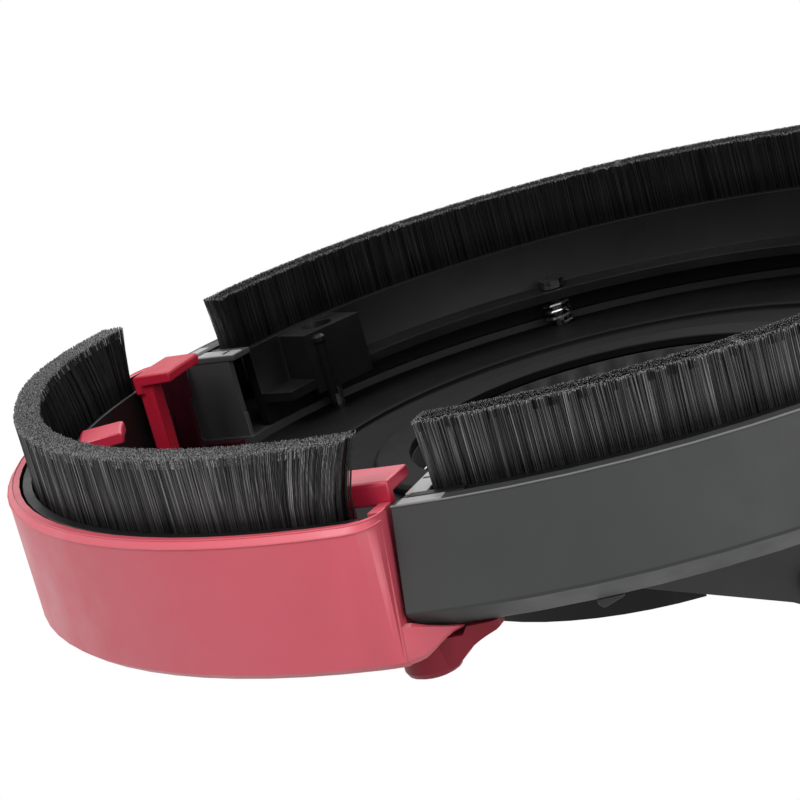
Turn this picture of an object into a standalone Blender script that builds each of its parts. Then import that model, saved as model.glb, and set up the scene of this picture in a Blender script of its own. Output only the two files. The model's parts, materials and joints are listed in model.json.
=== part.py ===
"""Hand-guided vacuum head: a round brush hood with a removable nose and a tilting suction neck.

Metres, +Z up. The brushes stand on z = 0, the hood's axis is the Z axis and the nose points to -Y.
Angles round the hood are in degrees from the nose's middle, positive towards +X.
Run with: blender --background --python part.py
"""
import math

import bmesh
import bpy
from mathutils import Matrix, Vector

for old in list(bpy.data.objects):
    bpy.data.objects.remove(old, do_unlink=True)

MM = 0.001
TOUCH = 0.3 * MM            # gap between pieces that rest on each other
SLIDE = 0.4 * MM            # radial clearance of pins, bores and other moving fits

# ---- driving sizes: brushes and hood ring ----
HOOD_RADIUS = 125 * MM      # outer radius at the rim
BRISTLE_LENGTH = 15.5 * MM  # nose bristles, from the floor to the rim
BRISTLE_LIFT = 1.8 * MM     # how much shorter the ring's bristles are
REAR_REST = 45.0            # degrees each side of the rear over which they come down to the floor
BRUSH_WIDTH = 7 * MM        # radial thickness of the ring's brush
BRUSH_INSET = 8 * MM        # from the rim's outer edge to the brush
BACKING = 2 * MM            # slice of the brush that holds its strands
CARRIER_HEIGHT = 7 * MM
RING_HEIGHT = 25.1 * MM
RING_FLARE = 6 * MM         # how far the wall leans out
RING_LIP = 4 * MM           # wall thickness at the rim
RING_SHOULDER = 19.5 * MM   # rim to the wall's widest place
RING_CHAMFER = 6.3 * MM     # how far the top edge is cut in
ROOF = 3 * MM
JOINT_ANGLE = 50.3          # where the nose meets the ring
JOINT_GAP = 0.25            # degrees left open on each side of that joint
END_PLATE = 1.3             # degrees of ring closed by its end walls
RING_STEPS = 48
DISC_STEPS = 54             # sides of the deck
PORT_STEPS = 40             # sides of the round pieces at the port

# ---- brush strands ----
STRAND_GAP = 0.9 * MM       # between neighbouring strands at the root
STRAND_TAPER = 0.86         # tip width against root width
STRAND_LIFT = 0.7 * MM      # how much shorter every fifth strand is
MAIN_BRUSHES = 8            # lengths in the ring's brush
MAIN_COLUMNS = 15           # pairs of strands in each length
NOSE_BRUSHES = 3
NOSE_COLUMNS = 16

# ---- inner wall, its ledge and guide towers ----
INNER_WALL = 2.5 * MM
LEDGE_WIDTH = 10.3 * MM
LEDGE = 2.5 * MM
SKIRT_TRAVEL = 2 * MM       # how far the skirt rises against its springs
SPRING_ROOM = SKIRT_TRAVEL + 5.7 * MM  # ledge to deck: the travel over the closed springs
TOWER_WIDTH = 19 * MM
TOWER_DEPTH = 12 * MM
TOWER_FOOT = 1.5 * MM       # the towers' lower ends above the rim
TOWER_ANGLE = 66.0
RIB_TURN = 3.2              # degrees from a tower's middle to its rib
SPRING_ANGLES = (104.5, 150.0)
PIN_ANGLES = (TOWER_ANGLE, *SPRING_ANGLES)

# ---- deck, guide pins and springs ----
DECK = 3 * MM
DECK_DROP = 1.5 * MM        # deck's underside below the ring's top
DECK_EDGE_GAP = 1.0 * MM
PIN_RADIUS = 2 * MM
PIN_HEAD_RADIUS = 3.6 * MM
PIN_HEAD = 2.2 * MM
SPRING_RADIUS = 3.55 * MM   # coil centre line
SPRING_WIRE = 0.42 * MM
SPRING_CURLS = 3.5
CURL_POINTS = 8

# ---- suction port housing ----
PORT_RADIUS = 51 * MM       # black front cover and port sleeve, outside
PORT_WALL = 3 * MM
FLANGE_WIDTH = 5 * MM
FLANGE = 2.5 * MM
CLAMP_WIDTH = 6 * MM
CLAMP = 2.2 * MM
COVER_HEIGHT = 70.0 * MM    # front edge of the front cover's top
COVER_RISE = 1.5 * MM       # how much its rear edge is higher
COVER_TOP = 2.5 * MM
COVER_BACK = -6 * MM        # where the cover ends and the housing starts
CHEEK = 4 * MM
CHEEK_GAP = 2.5 * MM        # cover to cheek
CHEEK_FRONT = -24 * MM
CHEEK_SLOPE = 24.7          # degrees
CHEEK_LEVEL = 72.4 * MM     # height of the cheeks' sloping edge over the hood's axis
BASE_PLATE = 2 * MM
WINDOW_HALF = 38 * MM       # half width of the air way into the neck
COVER_SCREW_Y = -14 * MM
COVER_SCREW_Z = 53 * MM
HOUSING_WALL = 3 * MM
STOP_REACH = 18.5 * MM      # the neck's rest stop behind the tilt axis
STOP = 4 * MM
STOP_HALF = 7 * MM

# ---- tilting neck, hose cuff and lock lever ----
TILT_BACK = 46 * MM         # the tilt axis behind the hood's axis
BOSS_RADIUS = 14 * MM
DRUM_RADIUS = 22 * MM
DRUM_WALL = 3 * MM
DRUM_END_GAP = 1 * MM       # drum to cheek, each end
NECK_RADIUS = 19 * MM
NECK_BORE = 15.5 * MM
CUFF_WALL = 3.2 * MM
CUFF_LENGTH = 34 * MM
CUFF_LAP = 20 * MM          # how much of the tube the cuff covers
TILT_PIN_RADIUS = 4 * MM
TILT_HEAD_RADIUS = 7 * MM
TILT_HEAD = 2.5 * MM
LEVER = 3 * MM
LEVER_REACH = 35 * MM       # tilt axis to the lever's tip
LEVER_HUB = 12 * MM
LEVER_TIP = 7 * MM          # width near the tip

# ---- nose ----
NOSE_STEP = 13.8 * MM       # nose wall beyond the ring's rim, at the front
NOSE_BULGE = 13 * MM        # how far the nose's curve is centred in front of the hood's axis
NOSE_BAND = 6.3 * MM        # outer face to brush
NOSE_HEIGHT = 29.5 * MM
NOSE_WALL = 3 * MM
NOSE_CORNER = 6 * MM        # rounding of the upright corners at the rim
CORNER_KEEP = 0.1           # share of that rounding left at the top
NOSE_EDGE = 1.3 * MM
NOSE_STEPS = 26
NOSE_BRUSH_WIDTH = 6 * MM
NOSE_LINER = 1.2 * MM       # wall behind the nose's brush
NOSE_BRUSH_ENDS = (-48.0, 43.4)  # the nose's brush reaches further on the left
RING_BRUSH_ENDS = (54.9, 306.7)  # and the ring's brush starts later on the right
HOOKS = {"left": (-49.8, -42.0), "right": (38.3, 46.4),    # the left hook sits closer to its joint
         "middle_left": (-16.8, -10.8), "middle_right": (10.8, 16.8)}
HOOK_INSET = 14.7 * MM      # inner side of the hooks inside the rim's radius
HOOK_WIDTH = 10.4 * MM
HOOK_DROP = 3.9 * MM        # the hooks' lower plate below the rim
HOOK_PLATE = 2.7 * MM
HOOK_SKIRT = 4.8 * MM       # height of the plate's outer side
HOOK_LEG = 2.1              # degrees of each leg
HOOK_LEG_WIDTH = 4.8 * MM

# ---- nose latches and ring clips ----
LATCH_ANGLE = 49.9
LATCH_INSET = 3.0 * MM      # latch axis inside the rim's radius
LATCH_RADIUS = 5.9 * MM
LATCH_HEIGHT = 8.1 * MM
LATCH_TAIL = 16.0 * MM
LATCH_SWEEP = 1.9           # degrees by which the tail turns in from the hood's curve
LATCH_TAIL_SECTIONS = (     # share of the reach, half width, height: a hollow curve down to the tip
    (0.0, 4.8 * MM, 6.8 * MM), (0.33, 4.6 * MM, 6.7 * MM), (0.41, 4.4 * MM, 6.1 * MM),
    (0.49, 4.2 * MM, 4.9 * MM), (0.57, 4.0 * MM, 3.7 * MM), (0.64, 3.8 * MM, 2.8 * MM),
    (0.75, 3.5 * MM, 1.8 * MM), (0.86, 3.1 * MM, 1.0 * MM), (0.96, 2.6 * MM, 0.4 * MM),
    (1.0, 1.9 * MM, 0.0 * MM))
LATCH_DROP = 0.6            # share of the reach beyond which the tail comes down to the ring's roof
LATCH_PIN_RADIUS = 1.6 * MM
LATCH_PIN_HEAD = 2.9 * MM
LATCH_PIN_SINK = 1.7 * MM   # depth of the head's seat in the latch
LATCH_SEAT = 1.2 * MM       # tongue over the ring's roof that carries a latch
TONGUE_REACH = 2.6          # degrees of that tongue past the joint
WING_STEP = 8.1 * MM        # low wall that runs on from the nose outside each latch: beyond the rim at the joint
WING_DROP = 8.2 * MM        # how far it draws in on its way to the ring's top edge
WING_REACH = 4.15           # degrees past the joint
WING_SECTIONS = (           # share of the reach, wall, lean of its foot, foot and top above the ring's top
    (0.0, 1.8 * MM, 1.3 * MM, -3.4 * MM, 4.3 * MM), (0.14, 1.8 * MM, 0.8 * MM, -3.0 * MM, 4.3 * MM),
    (0.27, 1.5 * MM, 0.0 * MM, -2.7 * MM, 4.05 * MM), (0.4, 1.1 * MM, 0.0 * MM, -2.1 * MM, 3.3 * MM),
    (0.55, 0.8 * MM, 0.0 * MM, -1.5 * MM, 2.3 * MM), (0.68, 0.8 * MM, 0.0 * MM, -0.9 * MM, 1.5 * MM),
    (0.82, 0.8 * MM, 0.0 * MM, -0.3 * MM, 0.95 * MM), (1.0, 0.8 * MM, 0.0 * MM, 0.4 * MM, 0.8 * MM))
WING_BEVEL = 0.65           # share of the wing's wall that its top edge is cut by
CLIP_ANGLE = 66.3           # front end of each clip
CLIP_LENGTH = 5.4 * MM
CLIP_WIDTH = 7 * MM
CLIP_SECTIONS = ((0.0, 1.0 * MM), (0.15, 2.0 * MM), (0.3, 1.9 * MM), (1.0, 0.6 * MM))  # share of length, height

# ---- fasteners ----
SCREW_RADIUS = 1.5 * MM
SCREW_HEAD_RADIUS = 3 * MM
SCREW_HEAD = 1.6 * MM
SCREW_LENGTH = 7 * MM

# ---- worked-out levels and radii ----
RIM_Z = BRISTLE_LENGTH
RING_TOP = RIM_Z + RING_HEIGHT
SHOULDER_Z = RIM_Z + RING_SHOULDER
BRUSH_OUT = HOOD_RADIUS - BRUSH_INSET
BRUSH_IN = BRUSH_OUT - BRUSH_WIDTH
WALL_OUT = BRUSH_IN - 2 * TOUCH
WALL_IN = WALL_OUT - INNER_WALL
ROOF_IN = WALL_IN - TOUCH
LEDGE_IN = WALL_IN - LEDGE_WIDTH
DECK_BOTTOM = RING_TOP - DECK_DROP
DECK_TOP = DECK_BOTTOM + DECK
DECK_RADIUS = ROOF_IN - DECK_EDGE_GAP
LEDGE_TOP = DECK_BOTTOM - SPRING_ROOM
LEDGE_BOTTOM = LEDGE_TOP - LEDGE
PIN_CIRCLE = (LEDGE_IN + WALL_IN) / 2
FLANGE_BOTTOM = DECK_TOP + TOUCH
FLANGE_TOP = FLANGE_BOTTOM + FLANGE
PORT_BORE = PORT_RADIUS - PORT_WALL
CHEEK_IN = PORT_RADIUS + CHEEK_GAP
CHEEK_OUT = CHEEK_IN + CHEEK
SLOPE = math.tan(math.radians(CHEEK_SLOPE))
COS_SLOPE = math.cos(math.radians(CHEEK_SLOPE))
SIN_SLOPE = math.sin(math.radians(CHEEK_SLOPE))
TILT_Z = CHEEK_LEVEL + TILT_BACK * SLOPE - BOSS_RADIUS / COS_SLOPE
SEAT_RADIUS = DRUM_RADIUS + SLIDE
SEAT_OUT = SEAT_RADIUS + HOUSING_WALL
DRUM_HALF = CHEEK_IN - DRUM_END_GAP
NOSE_RADIUS = HOOD_RADIUS + NOSE_STEP
NOSE_TOP = RIM_Z + NOSE_HEIGHT
NOSE_BRUSH_OUT = NOSE_RADIUS - NOSE_BAND
NOSE_BRUSH_IN = NOSE_BRUSH_OUT - NOSE_BRUSH_WIDTH
LATCH_CIRCLE = HOOD_RADIUS - LATCH_INSET
TONGUE_TOP = RING_TOP + TOUCH + LATCH_SEAT
LATCH_BASE = TONGUE_TOP + TOUCH
LATCH_TOP = LATCH_BASE + LATCH_HEIGHT
HOOK_IN = HOOD_RADIUS - HOOK_INSET
NECK_DIRECTION = Vector((0, COS_SLOPE, SIN_SLOPE))
TILT_AXIS = Vector((0, TILT_BACK, TILT_Z))
CUFF_RADIUS = NECK_RADIUS + SLIDE + CUFF_WALL
NECK_LENGTH = ((NOSE_RADIUS - TILT_BACK - CUFF_RADIUS * SIN_SLOPE) / COS_SLOPE
               - (CUFF_LENGTH - CUFF_LAP))  # the cuff ends as far behind the axis as the nose does in front


# ---- materials ----
def material(name, colour, roughness, metallic=0.0):
    made = bpy.data.materials.new(name)
    made.use_nodes = True
    shader = made.node_tree.nodes["Principled BSDF"]
    shader.inputs["Base Color"].default_value = (*colour, 1.0)
    shader.inputs["Roughness"].default_value = roughness
    shader.inputs["Metallic"].default_value = metallic
    return made


DARK_GREY = material("dark_grey_plastic", (0.055, 0.055, 0.058), 0.5)
GREY = material("grey_plastic", (0.12, 0.12, 0.125), 0.5)
BLACK = material("black_plastic", (0.012, 0.012, 0.013), 0.45)
RED = material("red_plastic", (0.62, 0.03, 0.06), 0.4)
BRISTLE = material("bristle", (0.03, 0.03, 0.032), 0.8)
STEEL = material("steel", (0.55, 0.55, 0.56), 0.3, 1.0)


# ---- shapes ----
def around(radius, angle, height):
    """The point at a radius and an angle round the hood."""
    turn = math.radians(angle)
    return Vector((radius * math.sin(turn), -radius * math.cos(turn), height))


def finish(name, mesh_data, colour):
    """Turn a bmesh into a named object with outward faces and smooth round sides."""
    bmesh.ops.recalc_face_normals(mesh_data, faces=mesh_data.faces)
    mesh = bpy.data.meshes.new(name)
    mesh_data.to_mesh(mesh)
    mesh_data.free()
    mesh.shade_smooth()
    mesh.set_sharp_from_angle(angle=math.radians(32))
    made = bpy.data.objects.new(name, mesh)
    bpy.context.collection.objects.link(made)
    mesh.materials.append(colour)
    return made


def loft(name, rings, colour, closed=False):
    """Join rings of points, each with the same count, into one closed skin."""
    body = bmesh.new()
    rows = [[body.verts.new(point) for point in ring] for ring in rings]
    count = len(rows[0])
    pairs = list(zip(rows, rows[1:]))
    if closed:
        pairs.append((rows[-1], rows[0]))
    for first, second in pairs:
        for index in range(count):
            after = (index + 1) % count
            body.faces.new((first[index], first[after], second[after], second[index]))
    if not closed:
        body.faces.new(rows[0])
        body.faces.new(reversed(rows[-1]))
    return finish(name, body, colour)


def turned(name, profile, colour, start=None, stop=None, steps=48, draw_in=None):
    """Sweep a closed (radius, height) profile round the hood's axis, drawn in by a function of the angle."""
    whole = start is None
    first = 0.0 if whole else start
    span = 360.0 if whole else stop - start
    count = steps if whole else steps + 1
    angles = [first + span * index / steps for index in range(count)]
    rings = [[around(radius - (draw_in(angle) if draw_in else 0.0), angle, height) for radius, height in profile]
             for angle in angles]
    return loft(name, rings, colour, closed=whole)


def stack(name, base, direction, levels, colour, sides=16):
    """A round solid along a direction, from (distance, radius) levels."""
    turn = direction.normalized().to_track_quat("Z", "Y").to_matrix()
    rings = []
    for distance, radius in levels:
        ring = []
        for index in range(sides):
            angle = 2 * math.pi * (index + 0.5) / sides
            ring.append(base + turn @ Vector((radius * math.cos(angle), radius * math.sin(angle), distance)))
        rings.append(ring)
    return loft(name, rings, colour)


def sleeve(name, base, direction, profile, colour, sides=32):
    """A hollow round solid along a direction, from a closed (distance, radius) profile."""
    turn = direction.normalized().to_track_quat("Z", "Y").to_matrix()
    rings = []
    for index in range(sides):
        angle = 2 * math.pi * (index + 0.5) / sides
        across = Vector((math.cos(angle), math.sin(angle), 0))
        rings.append([base + turn @ (across * radius + Vector((0, 0, distance)))
                      for distance, radius in profile])
    return loft(name, rings, colour, closed=True)


def side_plate(name, outline, low, high, colour):
    """Extrude a (y, z) outline from x = low to x = high."""
    rings = [[Vector((x, y, z)) for y, z in outline] for x in (low, high)]
    return loft(name, rings, colour)


def box(name, low, high, colour):
    outline = [(low[1], low[2]), (high[1], low[2]), (high[1], high[2]), (low[1], high[2])]
    return side_plate(name, outline, low[0], high[0], colour)


def arc(centre, radius, start, stop, steps):
    """Points of an arc in the (y, z) plane, angles in degrees from +Y towards +Z."""
    points = []
    for index in range(steps + 1):
        angle = math.radians(start + (stop - start) * index / steps)
        points.append((centre[0] + radius * math.cos(angle), centre[1] + radius * math.sin(angle)))
    return points


def combine(body, tool, operation):
    """Join tool to body, or cut it out of body, and keep the result as body's own mesh."""
    change = body.modifiers.new("combine", "BOOLEAN")
    change.operation = operation
    change.solver = "EXACT"
    change.object = tool
    seen = body.evaluated_get(bpy.context.evaluated_depsgraph_get())
    result = bpy.data.meshes.new_from_object(seen)
    body.modifiers.clear()
    body.data = result
    bpy.data.objects.remove(tool, do_unlink=True)
    return body


def join(body, *tools):
    for tool in tools:
        combine(body, tool, "UNION")
    return body


def cut(body, *tools):
    for tool in tools:
        combine(body, tool, "DIFFERENCE")
    return body


def carry(name, location, pieces, parent=None):
    """An empty on a joint's axis that carries the pieces which move with it."""
    bpy.context.view_layer.update()
    empty = bpy.data.objects.new(name, None)
    empty.empty_display_size = 0.02
    bpy.context.collection.objects.link(empty)
    empty.location = location
    if parent:
        empty.parent = parent
        empty.matrix_parent_inverse = parent.matrix_world.inverted()
    bpy.context.view_layer.update()
    for piece in pieces:
        piece.parent = empty
        piece.matrix_parent_inverse = empty.matrix_world.inverted()
    return empty


SIDES = (("left", -1), ("right", 1))


# ---- brushes ----
def bulge(angle):
    """How far the nose's curve draws in away from its middle."""
    return NOSE_BULGE * (1 - math.cos(math.radians(angle)))


def flat(angle):
    """The ring's own curve stays round the hood's axis."""
    return 0.0


def level(angle):
    """The nose's bristles all reach the floor."""
    return 0.0


def lifted(angle):
    """Height of the ring's bristle tips; they come down to the floor at the rear."""
    part = min(1.0, (180 - abs((angle + 180) % 360 - 180)) / REAR_REST)
    return BRISTLE_LIFT * part * part * (3 - 2 * part)


def brush(name, start, stop, inner, outer, columns, draw_in, tip_height):
    """A slice of backing with three-sided strands down to their tips, two to each column."""
    body = bmesh.new()
    root = RIM_Z + TOUCH
    rows = []
    for index in range(columns + 1):
        angle = start + (stop - start) * index / columns
        rows.append([body.verts.new(around(radius - draw_in(angle), angle, height))
                     for radius, height in ((inner, root), (outer, root), (outer, root + BACKING),
                                            (inner, root + BACKING))])
    body.faces.new(rows[0])
    body.faces.new(reversed(rows[-1]))
    cells = []
    for index, (first, second) in enumerate(zip(rows, rows[1:])):
        for side in (1, 2, 3):
            after = (side + 1) % 4
            body.faces.new((first[side], first[after], second[after], second[side]))
        if index % 2:
            cells.append(body.faces.new((first[0], first[1], second[1])))
            cells.append(body.faces.new((first[0], second[1], second[0])))
        else:
            cells.append(body.faces.new((first[0], first[1], second[0])))
            cells.append(body.faces.new((first[1], second[1], second[0])))
    bmesh.ops.recalc_face_normals(body, faces=body.faces)
    for number, cell in enumerate(cells):
        bmesh.ops.inset_individual(body, faces=[cell], thickness=STRAND_GAP / 2)
        made = bmesh.ops.extrude_discrete_faces(body, faces=[cell])["faces"][0]
        middle = made.calc_center_median()
        tip = tip_height(math.degrees(math.atan2(middle.x, -middle.y)))
        if number % 5 == 3:
            tip += STRAND_LIFT
        for vert in made.verts:
            vert.co.x = middle.x + (vert.co.x - middle.x) * STRAND_TAPER
            vert.co.y = middle.y + (vert.co.y - middle.y) * STRAND_TAPER
            vert.co.z = tip
    return finish(name, body, BRISTLE)


def make_brushes():
    """The ring's brush and the nose's brush, in short lengths laid end to end."""
    main = []
    start, stop = RING_BRUSH_ENDS
    length = (stop - start) / MAIN_BRUSHES
    for index in range(MAIN_BRUSHES):
        low = start + index * length + 0.1
        main.append(brush(f"ring_brush_{index + 1}", low, low + length - 0.2, BRUSH_IN, BRUSH_OUT,
                          MAIN_COLUMNS, flat, lifted))
    nose = []
    start, stop = NOSE_BRUSH_ENDS
    length = (stop - start) / NOSE_BRUSHES
    for index in range(NOSE_BRUSHES):
        low = start + index * length + 0.1
        nose.append(brush(f"nose_brush_{index + 1}", low, low + length - 0.2, NOSE_BRUSH_IN, NOSE_BRUSH_OUT,
                          NOSE_COLUMNS, bulge, level))
    return main, nose


def make_carriers():
    """Channels that grip the backing of each brush."""
    low = RIM_Z + TOUCH
    over = low + BACKING + TOUCH
    top = over + CARRIER_HEIGHT

    def channel(inner, outer, reach):
        return [(outer + TOUCH, low), (outer + reach, low), (outer + reach, top), (inner, top),
                (inner, over), (outer + TOUCH, over)]

    ring = turned("ring_brush_carrier", channel(BRUSH_IN, BRUSH_OUT, BRUSH_INSET - RING_LIP - 2 * TOUCH),
                  BLACK, RING_BRUSH_ENDS[0] - 0.2, RING_BRUSH_ENDS[1] + 0.2, RING_STEPS)
    nose = turned("nose_brush_carrier",
                  channel(NOSE_BRUSH_IN, NOSE_BRUSH_OUT, NOSE_BAND - NOSE_WALL - 2 * TOUCH), BLACK,
                  NOSE_BRUSH_ENDS[0] - 0.2, NOSE_BRUSH_ENDS[1] + 0.2, NOSE_STEPS, bulge)
    return ring, nose


# ---- hood ring and inner wall ----
def make_outer_ring():
    """The flared wall, its chamfered top edge and the roof, with an end wall at each joint."""
    shoulder = HOOD_RADIUS + RING_FLARE
    top_edge = shoulder - RING_CHAMFER
    profile = [(HOOD_RADIUS - RING_LIP, RIM_Z), (HOOD_RADIUS, RIM_Z), (shoulder, SHOULDER_Z),
               (shoulder - 0.3 * MM, SHOULDER_Z + 0.7 * MM), (top_edge, RING_TOP), (ROOF_IN, RING_TOP),
               (ROOF_IN, RING_TOP - ROOF), (top_edge - 2 * MM, RING_TOP - ROOF),
               (shoulder - RING_LIP, SHOULDER_Z)]
    start = JOINT_ANGLE + JOINT_GAP
    ring = turned("outer_ring", profile, DARK_GREY, start, 360 - start, RING_STEPS)
    low = RIM_Z + 0.6 * MM
    inner_low = WALL_IN + 1 * MM
    plate = [(inner_low, low), (HOOD_RADIUS - RING_LIP / 2, low),
             (shoulder - RING_LIP / 2, SHOULDER_Z), (top_edge - 1.5 * MM, RING_TOP - ROOF / 2),
             (ROOF_IN + 1 * MM, RING_TOP - ROOF / 2), (ROOF_IN + 1 * MM, LEDGE_TOP), (inner_low, LEDGE_TOP)]
    floor = [(inner_low - 2 * MM, low - 0.4 * MM), (HOOD_RADIUS - 1 * MM, low - 0.4 * MM),
             (HOOD_RADIUS - 1 * MM, low + 1 * MM), (inner_low - 2 * MM, low + 1 * MM)]
    for side, brush_end in ((-1, RING_BRUSH_ENDS[1] - 360), (1, RING_BRUSH_ENDS[0])):
        join(ring, turned("end_wall", plate, DARK_GREY, side * (start + 0.25),
                          side * (JOINT_ANGLE + END_PLATE), 2))
        join(ring, turned("end_floor", floor, DARK_GREY, side * (start + 0.15), brush_end - side * 0.5, 3))
    return ring


def make_inner_wall():
    """The chamber's wall with its ledge, the two towers and the holes for the guide pins."""
    top = RING_TOP - ROOF - TOUCH
    profile = [(WALL_IN, RIM_Z + 1 * MM), (WALL_OUT, RIM_Z + 1 * MM), (WALL_OUT, top), (WALL_IN, top),
               (WALL_IN, LEDGE_TOP), (LEDGE_IN, LEDGE_TOP), (LEDGE_IN, LEDGE_BOTTOM), (WALL_IN, LEDGE_BOTTOM)]
    wall = turned("inner_wall", profile, BLACK, RING_BRUSH_ENDS[0] - 0.1, RING_BRUSH_ENDS[1] + 0.1, RING_STEPS)
    foot = RIM_Z + TOWER_FOOT
    middle = LEDGE_IN + TOWER_DEPTH / 2 - 1.0 * MM
    for side in (-1, 1):
        angle = side * TOWER_ANGLE
        tower = box("tower", (-TOWER_WIDTH / 2, -TOWER_DEPTH / 2, foot),
                    (TOWER_WIDTH / 2, TOWER_DEPTH / 2, LEDGE_TOP + 1.5 * MM), BLACK)
        tower.data.transform(Matrix.Translation(around(middle, angle, 0))
                             @ Matrix.Rotation(math.radians(angle), 4, "Z"))
        levels = [(0, 1.2 * MM), (0.6 * MM, 1.8 * MM), (1.8 * MM, 1.8 * MM), (2.4 * MM, 1.4 * MM),
                  (LEDGE_TOP - foot + 2 * MM, 1.4 * MM)]
        rib = stack("rib", around(LEDGE_IN - 1 * MM, side * (TOWER_ANGLE - RIB_TURN), foot + 1 * MM),
                    Vector((0, 0, 1)), levels, BLACK, 10)
        join(wall, tower, rib)
        cut(wall, stack("pocket", around(PIN_CIRCLE, angle, foot - 5 * MM), Vector((0, 0, 1)),
                        [(0, PIN_HEAD_RADIUS + SLIDE), (LEDGE_BOTTOM - foot + 5 * MM, PIN_HEAD_RADIUS + SLIDE)],
                        BLACK, 16))
    for angle in PIN_ANGLES:
        for side in (-1, 1):
            cut(wall, stack("hole", around(PIN_CIRCLE, side * angle, LEDGE_BOTTOM - 2 * MM), Vector((0, 0, 1)),
                            [(0, PIN_RADIUS + SLIDE), (LEDGE + 4 * MM, PIN_RADIUS + SLIDE)], BLACK, 12))
    return wall


# ---- deck and floating suspension ----
def make_deck():
    """The plate that closes the chamber from above, round the port."""
    rib = 75 * MM
    bore = PORT_RADIUS + SLIDE
    profile = [(bore, DECK_BOTTOM), (rib - 1 * MM, DECK_BOTTOM), (rib - 1 * MM, DECK_BOTTOM - 1.2 * MM),
               (rib + 1 * MM, DECK_BOTTOM - 1.2 * MM), (rib + 1 * MM, DECK_BOTTOM),
               (DECK_RADIUS - 0.5 * MM, DECK_BOTTOM), (DECK_RADIUS, DECK_BOTTOM + 0.5 * MM),
               (DECK_RADIUS, DECK_TOP), (bore, DECK_TOP)]
    deck = turned("deck", profile, BLACK, steps=DISC_STEPS)
    for angle in PIN_ANGLES:
        for side in (-1, 1):
            cut(deck, stack("hole", around(PIN_CIRCLE, side * angle, DECK_BOTTOM - 2 * MM), Vector((0, 0, 1)),
                            [(0, PIN_RADIUS + SLIDE), (DECK + 4 * MM, PIN_RADIUS + SLIDE)], BLACK, 12))
    return deck


def make_guide_pins():
    """Shouldered pins on which the skirt slides; their lower flanges are its lower stop."""
    pins = []
    low = LEDGE_BOTTOM - TOUCH - PIN_HEAD
    high = DECK_TOP + TOUCH
    levels = [(low, PIN_HEAD_RADIUS), (low + PIN_HEAD, PIN_HEAD_RADIUS), (low + PIN_HEAD, PIN_RADIUS),
              (high, PIN_RADIUS), (high, PIN_HEAD_RADIUS), (high + PIN_HEAD, PIN_HEAD_RADIUS)]
    for label, side in SIDES:
        for number, angle in enumerate(PIN_ANGLES, start=1):
            pins.append(stack(f"guide_pin_{label}_{number}", around(PIN_CIRCLE, side * angle, 0),
                              Vector((0, 0, 1)), levels, STEEL, 10))
    return pins


def spring_points():
    """The centre line of one float spring, from the ledge up to the deck."""
    low = LEDGE_TOP + TOUCH + SPRING_WIRE
    high = DECK_BOTTOM - TOUCH - SPRING_WIRE
    count = round(SPRING_CURLS * CURL_POINTS)
    points = []
    for index in range(count + 1):
        part = index / count
        turn = 2 * math.pi * SPRING_CURLS * part
        points.append(Vector((SPRING_RADIUS * math.cos(turn), SPRING_RADIUS * math.sin(turn),
                              low + (high - low) * part)))
    return points


def least_gap(points, wire):
    """The smallest clear space between neighbouring curls."""
    gaps = []
    for index, point in enumerate(points):
        for other in points[index + CURL_POINTS // 2:]:
            gaps.append((point - other).length - 2 * wire)
    return min(gaps)


def make_springs():
    """One wound wire round each of the bare guide pins."""
    springs = []
    points = spring_points()
    for label, side in SIDES:
        for number, angle in enumerate(SPRING_ANGLES, start=1):
            path = bpy.data.curves.new("coil", "CURVE")
            path.dimensions = "3D"
            path.bevel_depth = SPRING_WIRE
            path.bevel_resolution = 1
            path.use_fill_caps = True
            line = path.splines.new("POLY")
            line.points.add(len(points) - 1)
            for point, place in zip(line.points, points):
                point.co = (*place, 1.0)
            coil = bpy.data.objects.new(f"float_spring_{label}_{number}", path)
            bpy.context.collection.objects.link(coil)
            coil.location = around(PIN_CIRCLE, side * angle, 0)
            path.materials.append(STEEL)
            springs.append(coil)
    print(f"least gap between spring curls: {least_gap(points, SPRING_WIRE) / MM:.2f} mm")
    return springs


# ---- suction port housing ----
def edge_height(y):
    """Height of the cheeks' sloping edge."""
    return CHEEK_LEVEL + y * SLOPE


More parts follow.
